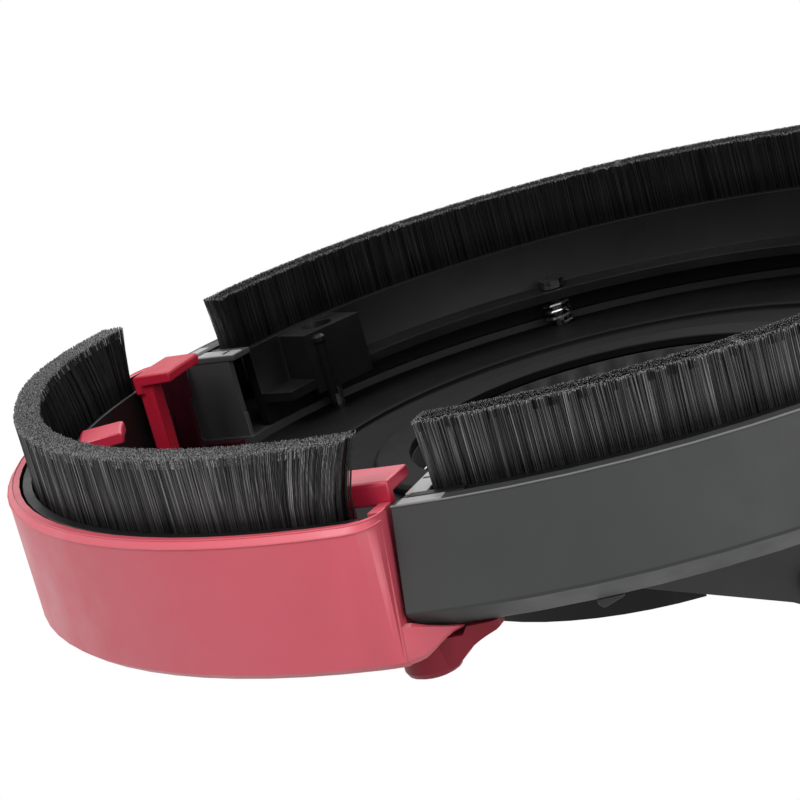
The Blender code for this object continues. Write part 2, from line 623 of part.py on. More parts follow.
def make_port_housing():
    """Port sleeve and flange, with the cheeks and the seat that carry the neck."""
    bore = PORT_BORE
    sleeve_low = DECK_BOTTOM
    base_top = FLANGE_TOP + BASE_PLATE
    flange = [(bore, sleeve_low), (PORT_RADIUS, sleeve_low), (PORT_RADIUS, FLANGE_BOTTOM),
              (PORT_RADIUS + FLANGE_WIDTH, FLANGE_BOTTOM), (PORT_RADIUS + FLANGE_WIDTH, FLANGE_TOP),
              (bore, FLANGE_TOP)]
    housing = turned("port_housing", flange, GREY, steps=PORT_STEPS)

    centre = (TILT_BACK, TILT_Z)
    rear = TILT_BACK + SEAT_OUT * math.cos(math.radians(290)) + HOUSING_WALL
    floor = FLANGE_BOTTOM + 0.5 * MM
    cheek = [(CHEEK_FRONT, floor), (CHEEK_FRONT, edge_height(CHEEK_FRONT))]
    cheek += arc(centre, BOSS_RADIUS, 90 + CHEEK_SLOPE, 0, 8)
    cheek += [(rear, TILT_Z - BOSS_RADIUS), (rear, floor)]
    for side in (-1, 1):
        low, high = sorted((side * CHEEK_IN, side * CHEEK_OUT))
        join(housing, side_plate("cheek", cheek, low, high, GREY))

    roof_front = COVER_HEIGHT - COVER_TOP - TOUCH
    body = [(COVER_BACK + TOUCH, floor + 0.4 * MM), (COVER_BACK + TOUCH, roof_front)]
    body += arc(centre, SEAT_OUT, 165, 162, 1)
    body += arc(centre, SEAT_RADIUS, 162, 300, 16)
    seat_end = TILT_Z - SEAT_RADIUS * math.sin(math.radians(60))
    body += [(rear - 0.4 * MM, seat_end), (rear - 0.4 * MM, floor + 0.4 * MM)]
    join(housing, side_plate("middle", body, -CHEEK_IN - 1 * MM, CHEEK_IN + 1 * MM, GREY))
    plate = box("plate", (-CHEEK_IN - 1.5 * MM, CHEEK_FRONT + 0.5 * MM, floor + 0.2 * MM),
                (CHEEK_IN + 1.5 * MM, COVER_BACK + 2 * MM, base_top), GREY)
    join(housing, plate)

    hollow = [(COVER_BACK - 5 * MM, base_top), (COVER_BACK - 5 * MM, roof_front - HOUSING_WALL)]
    hollow += [(COVER_BACK + 2 * MM, roof_front - HOUSING_WALL)]
    hollow += arc(centre, SEAT_OUT, 172, 290, 14)
    hollow += [(rear - HOUSING_WALL, base_top)]
    cut(housing, side_plate("hollow", hollow, -CHEEK_IN + 1.5 * MM, CHEEK_IN - 1.5 * MM, GREY))
    window = arc(centre, SEAT_OUT + 4 * MM, 185, 280, 10) + arc(centre, SEAT_RADIUS - 4 * MM, 280, 185, 10)
    cut(housing, side_plate("window", window, -WINDOW_HALF, WINDOW_HALF, GREY))
    cut(housing, stack("passage", Vector((0, 0, sleeve_low - 2 * MM)), Vector((0, 0, 1)),
                       [(0, bore), (base_top - sleeve_low + 4 * MM, bore)], GREY, PORT_STEPS))
    for side in (-1, 1):
        start = Vector((side * (CHEEK_IN - 4 * MM), TILT_BACK, TILT_Z))
        cut(housing, stack("pin_hole", start, Vector((side, 0, 0)),
                           [(0, TILT_PIN_RADIUS + SLIDE), (CHEEK + 8 * MM, TILT_PIN_RADIUS + SLIDE)], GREY, 16))
        start = Vector((side * (CHEEK_IN - 4 * MM), COVER_SCREW_Y, COVER_SCREW_Z))
        cut(housing, stack("screw_hole", start, Vector((side, 0, 0)),
                           [(0, SCREW_RADIUS + SLIDE), (CHEEK + 8 * MM, SCREW_RADIUS + SLIDE)], GREY, 12))
    near = TILT_BACK + STOP_REACH
    far = near + STOP
    under = [(y, TILT_Z + (y - TILT_BACK) * SLOPE - NECK_RADIUS / COS_SLOPE - 2 * TOUCH) for y in (far, near)]
    arm = base_top + STOP
    stop = [(rear - 0.7 * MM, base_top), (far, base_top), *under, (near, arm), (rear - 0.7 * MM, arm)]
    join(housing, side_plate("stop", stop, -STOP_HALF, STOP_HALF, GREY))
    return housing


def make_clamp_ring():
    """The ring under the deck that holds the port sleeve down."""
    top = DECK_BOTTOM - TOUCH
    edge = PORT_RADIUS + CLAMP_WIDTH
    profile = [(PORT_BORE, top - CLAMP), (edge - 1 * MM, top - CLAMP), (edge, top - CLAMP + 1 * MM), (edge, top),
               (PORT_BORE, top)]
    return turned("clamp_ring", profile, BLACK, steps=PORT_STEPS)


def make_front_cover():
    """The black half-round cover in front of the housing."""
    low = FLANGE_TOP + BASE_PLATE + TOUCH
    top = COVER_HEIGHT
    half = math.degrees(math.acos(-COVER_BACK / PORT_RADIUS))
    steps = 24

    def half_disc(radius, bottom, height, back):
        angle = math.degrees(math.acos(-back / radius))
        points = [around(radius, -angle + 2 * angle * index / steps, 0) for index in range(steps + 1)]
        slope = COVER_RISE / (PORT_RADIUS + COVER_BACK)
        return [[Vector((point.x, point.y, bottom)) for point in points],
                [Vector((point.x, point.y, height + slope * (point.y + PORT_RADIUS))) for point in points]]

    cover = loft("front_cover", half_disc(PORT_RADIUS, low, top, COVER_BACK), BLACK)
    inside = half_disc(PORT_BORE, low - 2 * MM, top - COVER_TOP, COVER_BACK)
    hollow = loft("hollow", inside, BLACK)
    edge = PORT_BORE * math.sin(math.radians(half))
    hollow_back = box("hollow_back", (-edge, COVER_BACK - 4 * MM, low - 2 * MM),
                      (edge, COVER_BACK + 2 * MM, top + COVER_RISE - COVER_TOP), BLACK)
    cut(cover, join(hollow, hollow_back))
    for side in (-1, 1):
        surface = math.sqrt(PORT_RADIUS ** 2 - COVER_SCREW_Y ** 2)
        across = Vector((side, 0, 0))
        centre = Vector((0, COVER_SCREW_Y, COVER_SCREW_Z))
        join(cover, stack("pad", centre + across * (surface - 8 * MM), across,
                          [(0, 3.6 * MM), (CHEEK_IN - TOUCH - surface + 8 * MM, 3.6 * MM)], BLACK, 12))
        cut(cover, stack("hole", centre + across * (surface - 5 * MM), across,
                         [(0, SCREW_RADIUS + SLIDE), (15 * MM, SCREW_RADIUS + SLIDE)], BLACK, 12))
    return cover


def make_cover_screws():
    """One screw through each cheek into the front cover."""
    screws = []
    for label, side in SIDES:
        head = Vector((side * (CHEEK_OUT + TOUCH), COVER_SCREW_Y, COVER_SCREW_Z))
        levels = [(-SCREW_LENGTH, SCREW_RADIUS), (0, SCREW_RADIUS), (0, SCREW_HEAD_RADIUS),
                  (SCREW_HEAD * 0.6, SCREW_HEAD_RADIUS), (SCREW_HEAD, SCREW_HEAD_RADIUS * 0.7)]
        screws.append(stack(f"cover_screw_{label}", head, Vector((side, 0, 0)), levels, STEEL, 10))
    return screws


# ---- neck ----
def make_neck():
    """A drum that turns in the housing's seat, with the suction tube leaving it to the rear."""
    drum = stack("neck", Vector((-DRUM_HALF, TILT_BACK, TILT_Z)), Vector((1, 0, 0)),
                 [(0, DRUM_RADIUS), (2 * DRUM_HALF, DRUM_RADIUS)], GREY, 40)
    join(drum, stack("tube", TILT_AXIS, NECK_DIRECTION, [(8 * MM, NECK_RADIUS), (NECK_LENGTH, NECK_RADIUS)],
                     GREY, 32))
    inside = DRUM_RADIUS - DRUM_WALL
    room = DRUM_HALF - DRUM_WALL
    hollow = stack("hollow", Vector((-room, TILT_BACK, TILT_Z)), Vector((1, 0, 0)),
                   [(0, inside), (2 * room, inside)], GREY, 40)
    cut(drum, hollow)
    cut(drum, stack("bore", TILT_AXIS, NECK_DIRECTION, [(2 * MM, NECK_BORE), (NECK_LENGTH + 5 * MM, NECK_BORE)],
                    GREY, 32))
    window = arc((TILT_BACK, TILT_Z), DRUM_RADIUS + 5 * MM, 178, 238, 8)
    window += arc((TILT_BACK, TILT_Z), DRUM_RADIUS - 8 * MM, 238, 178, 8)
    cut(drum, side_plate("window", window, -WINDOW_HALF, WINDOW_HALF, GREY))
    for side in (-1, 1):
        start = Vector((side * (DRUM_HALF - 8 * MM), TILT_BACK, TILT_Z))
        cut(drum, stack("pin_hole", start, Vector((side, 0, 0)),
                        [(0, TILT_PIN_RADIUS + SLIDE), (16 * MM, TILT_PIN_RADIUS + SLIDE)], GREY, 16))
    return drum


def make_tilt_pins():
    """Headed pins through the cheeks into the drum's ends."""
    pins = []
    for label, side in SIDES:
        outside = CHEEK_OUT + TOUCH
        if side < 0:
            outside += LEVER + TOUCH
        base = Vector((side * outside, TILT_BACK, TILT_Z))
        reach = outside - (DRUM_HALF - DRUM_WALL - 1 * MM)
        levels = [(-reach, TILT_PIN_RADIUS), (0, TILT_PIN_RADIUS), (0, TILT_HEAD_RADIUS),
                  (TILT_HEAD * 0.6, TILT_HEAD_RADIUS), (TILT_HEAD, TILT_HEAD_RADIUS * 0.8)]
        pins.append(stack(f"tilt_pin_{label}", base, Vector((side, 0, 0)), levels, STEEL, 16))
    return pins


def make_hose_cuff():
    """The turning cuff at the tube's end that takes the hose."""
    start = NECK_LENGTH - CUFF_LAP
    inside = NECK_RADIUS + SLIDE
    outside = CUFF_RADIUS
    step = NECK_LENGTH + TOUCH
    end = start + CUFF_LENGTH
    profile = [(start, inside), (start, outside), (start + 4 * MM, outside),
               (start + 4.5 * MM, outside - 0.8 * MM), (end - 3 * MM, outside - 0.8 * MM),
               (end - 2.5 * MM, outside), (end, outside),
               (end, NECK_BORE), (step, NECK_BORE), (step, inside)]
    return sleeve("hose_cuff", TILT_AXIS, NECK_DIRECTION, profile, BLACK, 26)


def make_lock_lever():
    """The red lever on the left cheek that clamps the neck."""
    tip_y = TILT_BACK - LEVER_REACH
    top = edge_height(tip_y)
    hub = arc((TILT_BACK, TILT_Z), LEVER_HUB, 90 + CHEEK_SLOPE, -150, 14)
    corner = []
    for index in range(6):
        turn = math.pi / 2 * index / 5
        along = LEVER_TIP * (1 - math.sin(turn))
        down = LEVER_TIP * (1 - math.cos(turn))
        corner.append((tip_y + along * COS_SLOPE + down * SIN_SLOPE, top + along * SIN_SLOPE - down * COS_SLOPE))
    outline = hub + corner[::-1]
    low = -(CHEEK_OUT + TOUCH + LEVER)
    lever = side_plate("lock_lever", outline, low, low + LEVER, RED)
    cut(lever, stack("hole", Vector((low - 3 * MM, TILT_BACK, TILT_Z)), Vector((1, 0, 0)),
                     [(0, TILT_PIN_RADIUS + SLIDE), (LEVER + 6 * MM, TILT_PIN_RADIUS + SLIDE)], RED, 16))
    return lever


# ---- nose ----
def corner_cut(angle, limit):
    """How far the nose wall draws in near its ends, for a rounded upright corner."""
    reach = math.degrees(NOSE_CORNER / NOSE_RADIUS)
    past = max(0.0, abs(angle) - (limit - reach)) / reach
    return NOSE_CORNER * (1 - math.sqrt(max(0.0, 1 - past * past)))


def nose_angles(limit):
    """Section angles along the nose, closer together in the rounded corners."""
    reach = math.degrees(NOSE_CORNER / NOSE_RADIUS)
    inner = limit - reach
    middle = [-inner + 2 * inner * index / NOSE_STEPS for index in range(NOSE_STEPS + 1)]
    corner = [inner + reach * part for part in (0.45, 0.75, 0.93, 1.0)]
    return [-angle for angle in reversed(corner)] + middle + corner


def make_nose_shell():
    """The red wall and roof, with an end wall, a latch seat and a low wing outside the latch at each end."""
    outer = NOSE_RADIUS
    inner = outer - NOSE_WALL
    under = NOSE_TOP - NOSE_WALL
    profile = [(inner, RIM_Z), (outer - NOSE_EDGE, RIM_Z), (outer, RIM_Z + NOSE_EDGE),
               (outer, NOSE_TOP - NOSE_EDGE), (outer - NOSE_EDGE, NOSE_TOP), (ROOF_IN, NOSE_TOP),
               (ROOF_IN, under), (inner, under)]
    limit = JOINT_ANGLE - JOINT_GAP
    rings = []
    for angle in nose_angles(limit):
        ring = []
        for radius, height in profile:
            share = 1 - (1 - CORNER_KEEP) * (height - RIM_Z) / NOSE_HEIGHT
            shift = corner_cut(angle, limit) * share + bulge(angle)
            ring.append(around(radius - (shift if radius > ROOF_IN else 0.0), angle, height))
        rings.append(ring)
    shell = loft("nose_shell", rings, RED)
    for label, side in SIDES:
        last = side * (limit - 0.3)
        low = RIM_Z + 0.2 * MM
        wall_out = outer - bulge(limit) - NOSE_CORNER - NOSE_WALL / 2
        end_wall = [(HOOD_RADIUS - RING_LIP, low), (wall_out, low), (wall_out, under + 1 * MM),
                    (ROOF_IN + 2 * MM, under + 1 * MM), (ROOF_IN + 2 * MM, RING_TOP - ROOF),
                    (HOOD_RADIUS - RING_LIP, RING_TOP - ROOF)]
        join(shell, turned("end_wall", end_wall, RED, last, last - side * 1.2, 1))
        near, far = LATCH_CIRCLE - 6 * MM, LATCH_CIRCLE + 5 * MM
        tongue = [(near, RING_TOP + TOUCH), (far, RING_TOP + TOUCH), (far, TONGUE_TOP - 0.05 * MM),
                  (near, TONGUE_TOP - 0.05 * MM)]
        join(shell, turned("tongue", tongue, RED, last - side * 4.2, last + side * TONGUE_REACH, 3))
        place = around(LATCH_CIRCLE, side * LATCH_ANGLE, 0)
        cut(shell, stack("notch", place + Vector((0, 0, TONGUE_TOP)), Vector((0, 0, 1)),
                         [(0, LATCH_RADIUS + SLIDE), (20 * MM, LATCH_RADIUS + SLIDE)], RED, 20))
        cut(shell, stack("pin_hole", place + Vector((0, 0, 25 * MM)), Vector((0, 0, 1)),
                         [(0, LATCH_PIN_RADIUS + SLIDE), (20 * MM, LATCH_PIN_RADIUS + SLIDE)], RED, 12))
        wing = []
        for share, wall, lean, foot, top in (WING_SECTIONS[0], *WING_SECTIONS):
            angle = side * (limit + share * WING_REACH) if wing else last - side * 1.0
            radius = HOOD_RADIUS + WING_STEP - share * WING_DROP
            bevel = wall * WING_BEVEL
            outline = ((radius - wall - lean, foot), (radius - lean, foot), (radius, top - bevel),
                       (radius - bevel, top), (radius - wall, top))
            wing.append([around(out, angle, RING_TOP + height) for out, height in outline])
        join(shell, loft("wing", wing, RED))
    return shell


def make_nose_liner():
    """The black wall behind the nose's brush."""
    low = RIM_Z + TOUCH
    top = NOSE_TOP - NOSE_WALL - TOUCH
    outer = NOSE_BRUSH_IN - 2 * TOUCH
    inner = outer - NOSE_LINER
    profile = [(inner, low), (outer, low), (outer, top), (inner, top)]
    return turned("nose_liner", profile, BLACK, -NOSE_BRUSH_ENDS[1], NOSE_BRUSH_ENDS[1], NOSE_STEPS, bulge)


def make_nose_hooks():
    """Red hooks inside the nose: each a lower plate with an outer side, held by one upright leg."""
    hooks = []
    low = RIM_Z - HOOK_DROP
    top = NOSE_TOP - NOSE_WALL - TOUCH
    outer = HOOK_IN + HOOK_WIDTH
    plate = [(HOOK_IN, low + 0.5 * MM), (HOOK_IN + 0.5 * MM, low), (outer - 0.5 * MM, low),
             (outer, low + 0.5 * MM), (outer, low + HOOK_SKIRT), (outer - 2 * MM, low + HOOK_SKIRT),
             (outer - 2 * MM, low + HOOK_PLATE),
             (HOOK_IN, low + HOOK_PLATE)]
    leg = [(outer - HOOK_LEG_WIDTH, low + 0.7 * MM), (outer - 0.5 * MM, low + 0.7 * MM),
           (outer - 0.5 * MM, top), (outer - HOOK_LEG_WIDTH, top)]
    for label, (start, stop) in HOOKS.items():
        hook = turned(f"nose_hook_{label}", plate, RED, start, stop, 4)
        foot = start + 0.4 if start > 0 else stop - 0.4 - HOOK_LEG
        hooks.append(join(hook, turned("leg", leg, RED, foot, foot + HOOK_LEG, 1)))
    return hooks


def make_latches():
    """Turning latches on the nose's ends; each tail lies over the ring's roof."""
    latches = []
    for label, side in SIDES:
        place = around(LATCH_CIRCLE, side * LATCH_ANGLE, 0)
        levels = [(0, LATCH_RADIUS), (LATCH_HEIGHT - 1.5 * MM, LATCH_RADIUS),
                  (LATCH_HEIGHT - 0.5 * MM, LATCH_RADIUS - 0.5 * MM), (LATCH_HEIGHT, LATCH_RADIUS - 1.6 * MM)]
        latch = stack(f"nose_latch_{label}", place + Vector((0, 0, LATCH_BASE)), Vector((0, 0, 1)), levels,
                      RED, 20)
        turn = math.radians(side * (LATCH_ANGLE + LATCH_SWEEP))
        along = Vector((math.cos(turn), math.sin(turn), 0)) * side
        across = Vector((math.sin(turn), -math.cos(turn), 0))
        rings = []
        for reach, half, tall in LATCH_TAIL_SECTIONS:
            middle = place + along * reach * LATCH_TAIL
            low = LATCH_BASE + 0.15 * MM if reach < LATCH_DROP else RING_TOP + TOUCH
            top = LATCH_BASE + 0.15 * MM + tall
            rings.append([middle + across * offset + Vector((0, 0, z))
                          for offset, z in ((-half, low), (half, low), (half * 0.8, top), (-half * 0.8, top))])
        join(latch, loft("tail", rings, RED))
        cut(latch, stack("hole", place + Vector((0, 0, LATCH_BASE - 3 * MM)), Vector((0, 0, 1)),
                         [(0, LATCH_PIN_RADIUS + SLIDE), (20 * MM, LATCH_PIN_RADIUS + SLIDE)], RED, 12))
        cut(latch, stack("seat", place + Vector((0, 0, LATCH_TOP - LATCH_PIN_SINK)), Vector((0, 0, 1)),
                         [(0, LATCH_PIN_HEAD + SLIDE), (5 * MM, LATCH_PIN_HEAD + SLIDE)], RED, 12))
        latches.append(latch)
    return latches


def make_latch_pins():
    """The pins on which the latches turn."""
    pins = []
    low = RING_TOP + 2 * TOUCH
    for label, side in SIDES:
        place = around(LATCH_CIRCLE, side * LATCH_ANGLE, 0)
        seat = LATCH_TOP - LATCH_PIN_SINK + TOUCH
        levels = [(low, LATCH_PIN_RADIUS), (seat, LATCH_PIN_RADIUS), (seat, LATCH_PIN_HEAD),
                  (LATCH_TOP - 0.2 * MM, LATCH_PIN_HEAD - 0.3 * MM)]
        pins.append(stack(f"latch_pin_{label}", place, Vector((0, 0, 1)), levels, STEEL, 12))
    return pins


def make_ring_clips():
    """Small grey clips at the ring's top edge, steep towards the nose and sloping away behind."""
    clips = []
    low = RING_TOP + TOUCH
    outer = HOOD_RADIUS + RING_FLARE - RING_CHAMFER - 0.8 * MM
    inner = outer - CLIP_WIDTH
    reach = math.degrees(CLIP_LENGTH / HOOD_RADIUS)
    for label, side in SIDES:
        rings = []
        for part, height in CLIP_SECTIONS:
            angle = side * (CLIP_ANGLE + part * reach)
            rings.append([around(inner, angle, low), around(outer, angle, low),
                          around(outer, angle, low + height), around(inner, angle, low + height)])
        clips.append(loft(f"ring_clip_{label}", rings, GREY))
    return clips


def build():
    """Make every piece and hang the moving ones on empties at their joints."""
    ring_brushes, nose_brushes = make_brushes()
    ring_carrier, nose_carrier = make_carriers()
    skirt_pieces = [make_outer_ring(), make_inner_wall(), ring_carrier, *ring_brushes, *make_ring_clips()]
    nose_pieces = [make_nose_shell(), make_nose_liner(), nose_carrier, *nose_brushes, *make_nose_hooks(),
                   *make_latch_pins()]
    make_deck()
    make_guide_pins()
    make_springs()
    make_port_housing()
    make_clamp_ring()
    make_front_cover()
    make_cover_screws()
    make_tilt_pins()
    skirt = carry("skirt_float", (0, 0, RING_TOP), skirt_pieces)
    nose = carry("nose_slide", around(HOOD_RADIUS, 0, RIM_Z), nose_pieces, skirt)
    for latch, (label, side) in zip(make_latches(), SIDES):
        carry(f"latch_turn_{label}", around(LATCH_CIRCLE, side * LATCH_ANGLE, LATCH_BASE), [latch], nose)
    neck = carry("neck_tilt", TILT_AXIS, [make_neck()])
    carry("cuff_turn", TILT_AXIS + NECK_DIRECTION * NECK_LENGTH, [make_hose_cuff()], neck)
    carry("lever_turn", TILT_AXIS, [make_lock_lever()])


build()
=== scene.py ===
"""Dressing, light and camera for the vacuum head: fine bristles, rounded moulded edges and plastic finishes."""
import json
import math
import random

import bmesh
import bpy
from mathutils import Matrix, Vector


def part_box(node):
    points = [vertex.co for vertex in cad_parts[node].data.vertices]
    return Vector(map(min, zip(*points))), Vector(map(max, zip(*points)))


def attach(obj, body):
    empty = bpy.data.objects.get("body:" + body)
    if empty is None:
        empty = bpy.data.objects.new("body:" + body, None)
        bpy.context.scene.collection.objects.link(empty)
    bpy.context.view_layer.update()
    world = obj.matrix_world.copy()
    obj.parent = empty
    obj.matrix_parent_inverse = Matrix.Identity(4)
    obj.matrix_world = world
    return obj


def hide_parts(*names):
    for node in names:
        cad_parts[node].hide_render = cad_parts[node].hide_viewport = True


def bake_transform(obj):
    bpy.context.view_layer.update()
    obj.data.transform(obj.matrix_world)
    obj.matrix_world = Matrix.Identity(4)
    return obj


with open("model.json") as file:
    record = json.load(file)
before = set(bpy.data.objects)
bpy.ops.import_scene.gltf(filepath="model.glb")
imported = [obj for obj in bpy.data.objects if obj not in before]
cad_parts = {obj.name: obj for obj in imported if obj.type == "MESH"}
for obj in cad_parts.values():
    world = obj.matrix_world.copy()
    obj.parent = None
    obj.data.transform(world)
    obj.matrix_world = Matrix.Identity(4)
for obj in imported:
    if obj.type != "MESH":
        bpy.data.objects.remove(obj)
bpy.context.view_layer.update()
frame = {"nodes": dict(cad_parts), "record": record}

MM = 0.001
THIRD_TURN = 2.0944          # radians
NODES = frame["nodes"]
BODY_OF = {node: body for body, nodes in frame["record"]["behaviour"]["bodies"].items() for node in nodes}
SLOT_OF = {part["node"]: part["material_slot"] for part in frame["record"]["subparts"]}

# ---- levels, from the frame ----
RIM_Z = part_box("outer_ring")[0].z
BRUSH_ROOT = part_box("ring_brush_1")[1].z
NOSE_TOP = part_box("nose_shell")[1].z
NOSE_FRONT = -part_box("nose_shell")[0].y
RING_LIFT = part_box("ring_brush_1")[0].z     # the ring's tips above the floor, away from the rear
REAR_REST = 45.0                            # degrees each side of the rear over which they come down to it
NOSE_BULGE = 13 * MM                        # the nose's curve is centred this far in front of the hood's axis


# ---- objects and meshes ----
def put(name, data):
    """A new object in the scene."""
    made = bpy.data.objects.new(name, data)
    bpy.context.scene.collection.objects.link(made)
    return made


def mesh_from(name, work):
    """A new mesh with what was built."""
    mesh = bpy.data.meshes.new(name)
    work.to_mesh(mesh)
    work.free()
    return mesh


def skin(work, rows):
    """Faces round a closed tube through its rows of vertices, and over both of its ends."""
    count = len(rows[0])
    for first, second in zip(rows, rows[1:]):
        for k in range(count):
            work.faces.new((first[k], first[(k + 1) % count], second[(k + 1) % count], second[k]))
    work.faces.new(rows[0])
    work.faces.new(rows[-1][::-1])


def give(mesh, finish):
    """One material in place of those that the mesh has."""
    if mesh.materials:                      # on a new mesh, clearing would only reset the faces' own slots
        mesh.materials.clear()
    mesh.materials.append(finish)


def add_bevel(piece, width):
    """A rounding of the edges, in two steps."""
    bevel = piece.modifiers.new("rounding", "BEVEL")
    bevel.width = width
    bevel.segments = 2
    return bevel


# ---- camera: level, turn and aim of the photo's view, from under the floor ----
LENS = 117.0                 # mm
SENSOR = 36.0                # mm wide
DISTANCE = 603.6 * MM        # to the middle of the open face
BEARING = 18.5               # degrees from -X towards the nose
DROP = 12.88                 # degrees below the open face
ROLL = 14.31                 # degrees
AIM_SIDE = 0.0716            # the middle of the open face lies right of the view's axis, per unit of distance
AIM_UP = 0.0326              # and above it


def add_camera():
    """A camera that sees the open face from below, as the head lies in the photo."""
    target = Vector((0, 0, RIM_Z))
    bearing, drop = math.radians(BEARING), math.radians(DROP)
    away = Vector((-math.cos(drop) * math.cos(bearing), -math.cos(drop) * math.sin(bearing), -math.sin(drop)))
    forward = -away
    right = forward.cross(Vector((0, 0, -1))).normalized()
    up = right.cross(forward)
    turn = Matrix((right, up, -forward)).transposed()
    roll = Matrix.Rotation(math.radians(-ROLL), 3, "Z")
    aim = Vector((0, 0, -1)).rotation_difference(Vector((AIM_SIDE, AIM_UP, -1))).to_matrix()
    data = bpy.data.cameras.new("view")
    data.lens = LENS
    data.sensor_width = SENSOR
    camera = put("view", data)
    camera.matrix_world = Matrix.Translation(target + away * DISTANCE) @ (turn @ roll @ aim.inverted()).to_4x4()
    bpy.context.scene.camera = camera
    return camera


# ---- node helpers ----
def new_tree(name):
    """A new material with its node tree and its shader."""
    made = bpy.data.materials.new(name)
    made.use_nodes = True
    tree = made.node_tree
    return made, tree, tree.nodes["Principled BSDF"]


def noise(tree, scale, detail=2.0, roughness=0.5, stretch=(1, 1, 1)):
    """Noise in the part's own space, so that it holds still on the surface."""
    place = tree.nodes.new("ShaderNodeTexCoord")
    mapping = tree.nodes.new("ShaderNodeMapping")
    mapping.inputs["Scale"].default_value = stretch
    tree.links.new(place.outputs["Object"], mapping.inputs["Vector"])
    texture = tree.nodes.new("ShaderNodeTexNoise")
    texture.inputs["Scale"].default_value = scale
    texture.inputs["Detail"].default_value = detail
    texture.inputs["Roughness"].default_value = roughness
    tree.links.new(mapping.outputs["Vector"], texture.inputs["Vector"])
    return texture.outputs["Fac"]


def remap(tree, value, source, target):
    """A value carried from its source range to a target range, and held at both ends."""
    node = tree.nodes.new("ShaderNodeMapRange")
    for name, number in zip(("From Min", "From Max", "To Min", "To Max"), (*source, *target)):
        node.inputs[name].default_value = number
    tree.links.new(value, node.inputs["Value"])
    return node.outputs["Result"]


def blend_colour(tree, factor, first, second):
    """A mix of two colours, each a tuple or another node's output."""
    node = tree.nodes.new("ShaderNodeMix")
    node.data_type = "RGBA"
    tree.links.new(factor, node.inputs["Factor"])
    for socket, colour in ((node.inputs[6], first), (node.inputs[7], second)):
        if isinstance(colour, tuple):
            socket.default_value = (*colour, 1.0)
        else:
            tree.links.new(colour, socket)
    return node.outputs[2]


# ---- materials ----
FULL = (0.0, 1.0)
GRAIN_SIZE = 0.45 * MM
GRAIN_DEPTH = 0.06 * MM
GRAIN_STRENGTH = 0.12
CHANNEL_PAINTED_SHADE = (0.004, 0.004, 0.004)        # painted shade on the bristles inside their channel
SHADE_STARTS, SHADE_ENDS = RIM_Z - 6 * MM, RIM_Z - 1 * MM       # heights over which the painted shade darkens them towards it


def grey(level):
    """A colour without a hue."""
    return (level,) * 3


def moulded(name, colour, light, roughness, specular):
    """Moulded plastic: fine spark-eroded grain, faint flow mottling and slightly rubbed places."""
    made, tree, shader = new_tree(name)
    mottle = noise(tree, scale=28.0, detail=3.0, roughness=0.55)
    grain = noise(tree, scale=1 / GRAIN_SIZE, detail=3.0, roughness=0.6)
    tree.links.new(blend_colour(tree, remap(tree, mottle, (0.32, 0.68), FULL), colour, light),
                   shader.inputs["Base Color"])
    rubbed = noise(tree, scale=90.0, detail=4.0, roughness=0.6)
    tree.links.new(remap(tree, rubbed, (0.3, 0.7), (roughness - 0.06, roughness + 0.08)),
                   shader.inputs["Roughness"])
    bump = tree.nodes.new("ShaderNodeBump")
    bump.inputs["Strength"].default_value = GRAIN_STRENGTH
    bump.inputs["Distance"].default_value = GRAIN_DEPTH
    tree.links.new(grain, bump.inputs["Height"])
    tree.links.new(bump.outputs["Normal"], shader.inputs["Normal"])
    shader.inputs["Specular IOR Level"].default_value = specular
    return made


def bristle_material(name, dark, light, specular):
    """Nylon bristles with strand-wide and tuft-wide differences, and painted shade that darkens them in their
    channel.
    """
    made, tree, shader = new_tree(name)
    place = tree.nodes.new("ShaderNodeTexCoord")
    split = tree.nodes.new("ShaderNodeSeparateXYZ")
    tree.links.new(place.outputs["Object"], split.inputs["Vector"])
    strand = noise(tree, scale=2600.0, detail=1.0, stretch=(1, 1, 0.02))
    tuft = noise(tree, scale=420.0, detail=2.0, roughness=0.6, stretch=(1, 1, 0.03))
    body = blend_colour(tree, remap(tree, strand, (0.38, 0.66), FULL), grey(dark), grey(light))
    body = blend_colour(tree, remap(tree, tuft, (0.36, 0.62), (0.75, 0.0)), body, grey(dark))
    # painted shade: darker towards the root, inside the channel
    shade = remap(tree, split.outputs["Z"], (SHADE_STARTS, SHADE_ENDS), (0.0, 0.9))
    tree.links.new(blend_colour(tree, shade, body, CHANNEL_PAINTED_SHADE), shader.inputs["Base Color"])
    tree.links.new(remap(tree, tuft, (0.3, 0.7), (0.42, 0.6)), shader.inputs["Roughness"])
    shader.inputs["Specular IOR Level"].default_value = specular
    return made


def cut_highlight_material():
    """The bristles' cut ends: pale specks among dark ones, the pale specks a painted highlight of lit tips."""
    made, tree, shader = new_tree("cut_bristle_painted_highlight")
    speck = noise(tree, scale=3000.0, detail=1.0)
    tree.links.new(blend_colour(tree, remap(tree, speck, (0.42, 0.60), FULL), grey(0.04), grey(0.38)),
                   shader.inputs["Base Color"])
    tree.links.new(remap(tree, speck, (0.3, 0.7), (0.5, 0.7)), shader.inputs["Roughness"])
    return made


def steel_material(name, dark, light):
    """Drawn wire and turned pins with fine scratches."""
    made, tree, shader = new_tree(name)
    scratches = noise(tree, scale=900.0, detail=3.0, roughness=0.7)
    tree.links.new(blend_colour(tree, scratches, grey(dark), grey(light)), shader.inputs["Base Color"])
    tree.links.new(remap(tree, scratches, (0.3, 0.7), (0.22, 0.42)), shader.inputs["Roughness"])
    shader.inputs["Metallic"].default_value = 1.0
    return made


